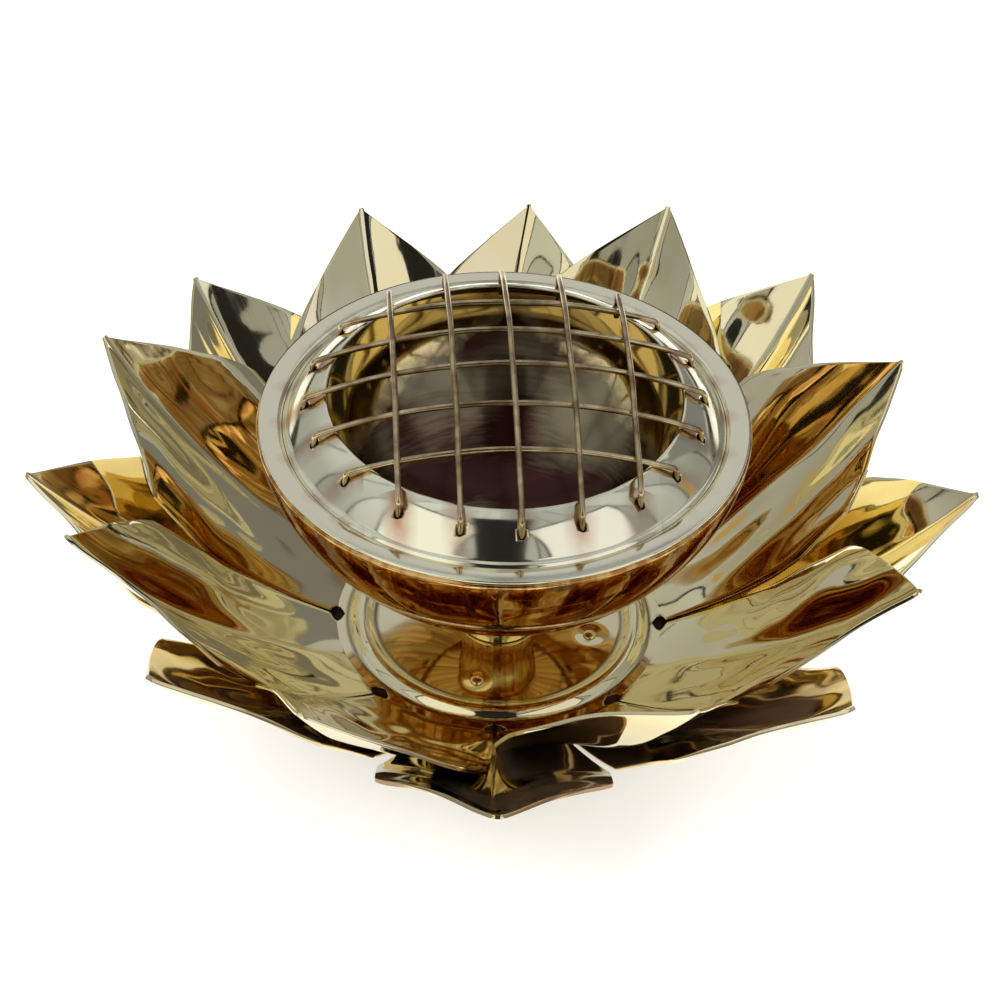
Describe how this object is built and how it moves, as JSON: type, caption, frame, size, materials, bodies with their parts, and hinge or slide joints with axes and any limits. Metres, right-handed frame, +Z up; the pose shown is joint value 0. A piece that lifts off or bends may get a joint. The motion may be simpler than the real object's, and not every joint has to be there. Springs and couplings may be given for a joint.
{
  "type": "charcoal incense burner",
  "caption": "Open lotus of polished brass petals carrying a round charcoal bowl on a short stem, closed by a loose ring with a domed wire grid.",
  "frame": {"origin": "centre of the foot's standing plane, on the bowl's axis", "axes": "+Z up along the bowl's axis, -Y towards the viewer in the picture, +X to the right"},
  "size_m": [0.1954, 0.194, 0.0818],
  "materials": {
    "polished_brass": "mirror polished",
    "bowl_brass": "polished outside, sooty and scratched inside",
    "plated_ring": "bright plated, heat stained round the holes",
    "bronze_wire": "drawn wire, darkened by heat",
    "steel": "plain"
  },
  "bodies": {
    "burner": {"foot": "polished_brass", "outer_petals": "polished_brass", "inner_petals": "polished_brass", "rivet_1": "polished_brass", "rivet_2": "polished_brass", "rivet_3": "polished_brass", "rivet_4": "polished_brass", "foot_washer": "steel", "foot_screw": "steel", "stem": "polished_brass", "bowl": "bowl_brass"},
    "screen_lid": {"screen_ring": "plated_ring", "screen_wire_cross_1": "bronze_wire", "screen_wire_cross_2": "bronze_wire", "screen_wire_cross_3": "bronze_wire", "screen_wire_cross_4": "bronze_wire", "screen_wire_cross_5": "bronze_wire", "screen_wire_long_1": "bronze_wire", "screen_wire_long_2": "bronze_wire", "screen_wire_long_3": "bronze_wire", "screen_wire_long_4": "bronze_wire", "screen_wire_long_5": "bronze_wire"}
  },
  "joints": [
    {"name": "lid_lift", "type": "slide", "parent": "burner", "child": "screen_lid", "axis": [0, 0, 1], "range_m": [0, 0.04]}
  ]
}
